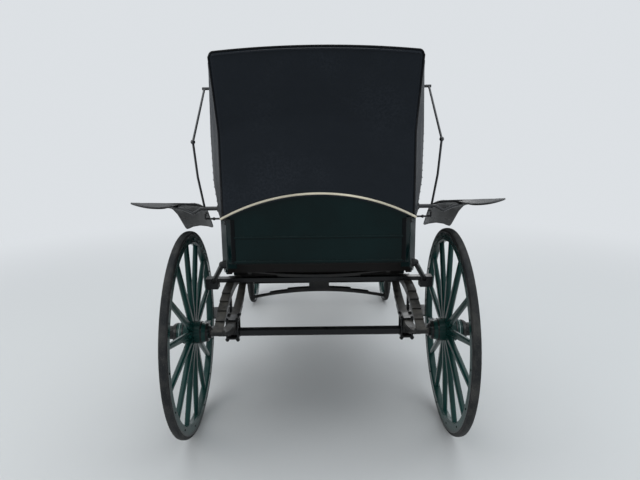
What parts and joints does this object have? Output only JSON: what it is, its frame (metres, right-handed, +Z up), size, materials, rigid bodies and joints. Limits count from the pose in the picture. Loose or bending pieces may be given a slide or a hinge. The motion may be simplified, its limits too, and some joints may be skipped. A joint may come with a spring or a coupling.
{
  "type": "horse drawn carriage",
  "caption": "Hooded horse drawn carriage with spoked wheels, elliptic springs, low footwell, driver's box and a front carriage that steers on a turntable.",
  "frame": {"origin": "on the ground, on the centre line, midway between the rearmost and the foremost points", "axes": "+X is the carriage's right-hand side seen from behind, +Y is forward, +Z is up"},
  "size_m": [2, 3.5618, 1.985],
  "materials": {
    "tyre": "worn black rubber",
    "wheel_paint": "dark green gloss paint",
    "body_paint": "very dark green gloss paint",
    "black_iron": "black gloss paint",
    "hood_leather": "black, semi-matt",
    "wing_leather": "black patent",
    "seat_leather": "satin",
    "bow_wood": "varnished"
  },
  "bodies": {
    "carriage": {"rear_axle": "black_iron", "rear_side_springs": "black_iron", "rear_spring_clips": "black_iron", "rear_cross_bar": "black_iron", "rear_cross_spring": "black_iron", "rear_hung_spring": "black_iron", "body_side_left": "body_paint", "body_side_right": "body_paint", "body_back": "body_paint", "body_floor": "body_paint", "boot_shell": "body_paint", "rear_seat": "body_paint", "rear_squab": "seat_leather", "rear_cushion": "seat_leather", "box_chest": "body_paint", "box_cushion": "seat_leather", "box_rail": "black_iron", "toe_board": "body_paint", "hood_cover": "hood_leather", "hood_bows": "bow_wood", "hood_irons": "black_iron", "wing_left": "wing_leather", "wing_right": "wing_leather", "wing_stays": "black_iron", "steps": "black_iron", "upper_bed": "body_paint"},
    "fore_carriage": {"front_axle": "black_iron", "front_springs": "black_iron", "front_spring_clips": "black_iron", "lower_bed": "body_paint", "futchells": "body_paint", "splinter_bar": "body_paint", "pole_socket": "black_iron"},
    "rear_left_road_wheel": {"rear_left_tyre": "tyre", "rear_left_wheel": "wheel_paint", "rear_left_cap": "black_iron"},
    "rear_right_road_wheel": {"rear_right_tyre": "tyre", "rear_right_wheel": "wheel_paint", "rear_right_cap": "black_iron"},
    "front_left_road_wheel": {"front_left_tyre": "tyre", "front_left_wheel": "wheel_paint", "front_left_cap": "black_iron"},
    "front_right_road_wheel": {"front_right_tyre": "tyre", "front_right_wheel": "wheel_paint", "front_right_cap": "black_iron"}
  },
  "joints": [
    {"name": "steering", "type": "hinge", "parent": "carriage", "child": "fore_carriage", "pos_m": [0, 1.081, 0.7362], "axis": [0, 0, 1], "range_deg": [-60, 60]},
    {"name": "rear_left_wheel_spin", "type": "hinge", "parent": "carriage", "child": "rear_left_road_wheel", "pos_m": [-0.712, -1.219, 0.562], "axis": [1, 0, 0], "continuous": true},
    {"name": "rear_right_wheel_spin", "type": "hinge", "parent": "carriage", "child": "rear_right_road_wheel", "pos_m": [0.712, -1.219, 0.562], "axis": [1, 0, 0], "continuous": true},
    {"name": "front_left_wheel_spin", "type": "hinge", "parent": "fore_carriage", "child": "front_left_road_wheel", "pos_m": [-0.64, 1.081, 0.43], "axis": [1, 0, 0], "continuous": true},
    {"name": "front_right_wheel_spin", "type": "hinge", "parent": "fore_carriage", "child": "front_right_road_wheel", "pos_m": [0.64, 1.081, 0.43], "axis": [1, 0, 0], "continuous": true}
  ]
}
